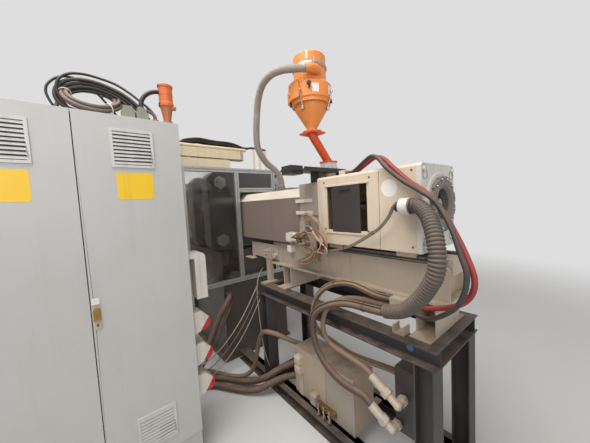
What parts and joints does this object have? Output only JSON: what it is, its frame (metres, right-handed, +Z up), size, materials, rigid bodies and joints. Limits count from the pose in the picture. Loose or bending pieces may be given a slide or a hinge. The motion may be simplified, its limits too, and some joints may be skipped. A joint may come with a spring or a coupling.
{
  "type": "injection moulding machine",
  "caption": "Horizontal injection moulding machine with guarded clamp unit, injection unit on a steel frame, material loader, electrical cabinet and hoses.",
  "frame": {"origin": "floor point under the machine axis in the plane of the fixed platen's injection face, on the underside of the clamp bed", "axes": "+X along the machine towards the drive end of the injection unit, +Y across the machine away from the electrical cabinet, +Z up"},
  "size_m": [4.7199, 2.7565, 2.667],
  "materials": {
    "machine_beige": "satin",
    "platen_dark": "satin",
    "bright_steel": "satin",
    "mould_red": "satin",
    "guard_profile": "satin",
    "guard_clear": "clear",
    "duct_beige": "satin",
    "bed_beige": "satin",
    "dark_metal": "satin",
    "housing_cream": "satin",
    "cabinet_grey": "satin",
    "shutter_dark": "satin",
    "cover_taupe": "satin",
    "slide_black": "satin",
    "loader_red": "satin",
    "loader_orange": "satin",
    "collar_white": "matte",
    "frame_grey": "satin",
    "brass_fittings": "satin",
    "lid_red": "gloss",
    "hose_grey": "matte",
    "hose_brown": "matte",
    "hose_tan": "matte",
    "hose_red": "matte"
  },
  "bodies": {
    "machine": {"clamp_bed": "machine_beige", "fixed_platen": "platen_dark", "end_platen": "machine_beige", "tie_bars": "bright_steel", "mould_fixed_half": "mould_red", "guard_frame": "guard_profile", "guard_panes": "guard_clear", "guard_ducts": "duct_beige", "injection_bed": "bed_beige", "guide_rails": "bright_steel", "carriage_cylinder": "dark_metal", "side_plate": "bed_beige", "support_frame": "frame_grey", "valve_block": "collar_white", "cabinet_body": "cabinet_grey", "power_sockets": "collar_white", "cabinet_top_fittings": "loader_orange", "junction_box": "bed_beige", "junction_cover": "bed_beige", "water_couplings": "brass_fittings", "main_conduit": "hose_grey", "lower_hose": "hose_brown", "upper_hose": "hose_tan", "loop_hoses": "hose_tan", "red_hose": "hose_red", "dark_hose": "hose_brown", "floor_hose_1": "hose_brown", "floor_hose_2": "hose_brown", "floor_hose_3": "hose_brown", "riser_hose": "hose_brown", "cable_coil": "hose_brown"},
    "clamp": {"moving_platen": "platen_dark", "clamp_ram": "bright_steel", "mould_moving_half": "bright_steel"},
    "ejector": {"ejector": "bright_steel"},
    "guard_door": {"guard_door": "guard_profile"},
    "carriage": {"drive_housing": "housing_cream", "end_plate": "cabinet_grey", "motor_flange": "dark_metal", "barrel_cover": "cover_taupe", "barrel": "bright_steel", "feed_block": "cover_taupe", "slide_plate": "slide_black", "service_manifold": "cabinet_grey", "conduit_collar": "collar_white", "signal_bundle": "hose_tan", "manifold_loop": "hose_tan", "vacuum_hose": "hose_grey"},
    "drive": {"drive_hub": "dark_metal"},
    "screw": {"screw": "bright_steel"},
    "shutter": {"window_shutter": "shutter_dark"},
    "hopper": {"hopper_foot": "loader_red", "loader_body": "loader_orange", "loader_head": "loader_orange"},
    "door_left": {"cabinet_door_left": "cabinet_grey"},
    "door_right": {"cabinet_door_right": "cabinet_grey"},
    "lock": {"door_lock": "brass_fittings"},
    "lid_1": {"socket_lid_1": "lid_red"},
    "lid_2": {"socket_lid_2": "lid_red"},
    "lid_3": {"socket_lid_3": "lid_red"}
  },
  "joints": [
    {"name": "carriage_slide", "type": "slide", "parent": "machine", "child": "carriage", "axis": [1, 0, 0], "range_m": [0, 0.15], "deforming": ["main_conduit", "red_hose", "dark_hose"]},
    {"name": "hub_spin", "type": "hinge", "parent": "carriage", "child": "drive", "pos_m": [1.9, 0, 1.612], "axis": [1, 0, 0], "continuous": true},
    {"name": "screw_stroke", "type": "slide", "parent": "drive", "child": "screw", "axis": [1, 0, 0], "range_m": [0, 0.12]},
    {"name": "shutter_slide", "type": "slide", "parent": "carriage", "child": "shutter", "axis": [1, 0, 0], "range_m": [-0.045, 0.045]},
    {"name": "hopper_slide", "type": "slide", "parent": "carriage", "child": "hopper", "axis": [0, -1, 0], "range_m": [0, 0.2], "deforming": ["vacuum_hose"]},
    {"name": "clamp_slide", "type": "slide", "parent": "machine", "child": "clamp", "axis": [-1, 0, 0], "range_m": [0, 0.45]},
    {"name": "ejector_stroke", "type": "slide", "parent": "clamp", "child": "ejector", "axis": [1, 0, 0], "range_m": [0, 0.075]},
    {"name": "guard_door_slide", "type": "slide", "parent": "machine", "child": "guard_door", "axis": [-1, 0, 0], "range_m": [0, 0.9]},
    {"name": "left_door_hinge", "type": "hinge", "parent": "machine", "child": "door_left", "pos_m": [0.94, -1.972, 1.2], "axis": [0, 0, -1], "range_deg": [0, 110]},
    {"name": "right_door_hinge", "type": "hinge", "parent": "machine", "child": "door_right", "pos_m": [0.94, -0.976, 1.2], "axis": [0, 0, 1], "range_deg": [0, 110]},
    {"name": "lock_turn", "type": "hinge", "parent": "door_right", "child": "lock", "pos_m": [0.94, -1.452, 1.155], "axis": [1, 0, 0], "range_deg": [0, 90]},
    {"name": "lid_1_flip", "type": "hinge", "parent": "machine", "child": "lid_1", "pos_m": [0.85, -0.8647, 0.91424], "axis": [1, 0, 0], "range_deg": [0, 115], "stiffness_Nm_per_rad": 0.12, "springref_deg": -34.38},
    {"name": "lid_2_flip", "type": "hinge", "parent": "machine", "child": "lid_2", "pos_m": [0.85, -0.8647, 0.69924], "axis": [1, 0, 0], "range_deg": [0, 115], "stiffness_Nm_per_rad": 0.12, "springref_deg": -34.38},
    {"name": "lid_3_flip", "type": "hinge", "parent": "machine", "child": "lid_3", "pos_m": [0.85, -0.8647, 0.48424], "axis": [1, 0, 0], "range_deg": [0, 115], "stiffness_Nm_per_rad": 0.12, "springref_deg": -34.38}
  ]
}
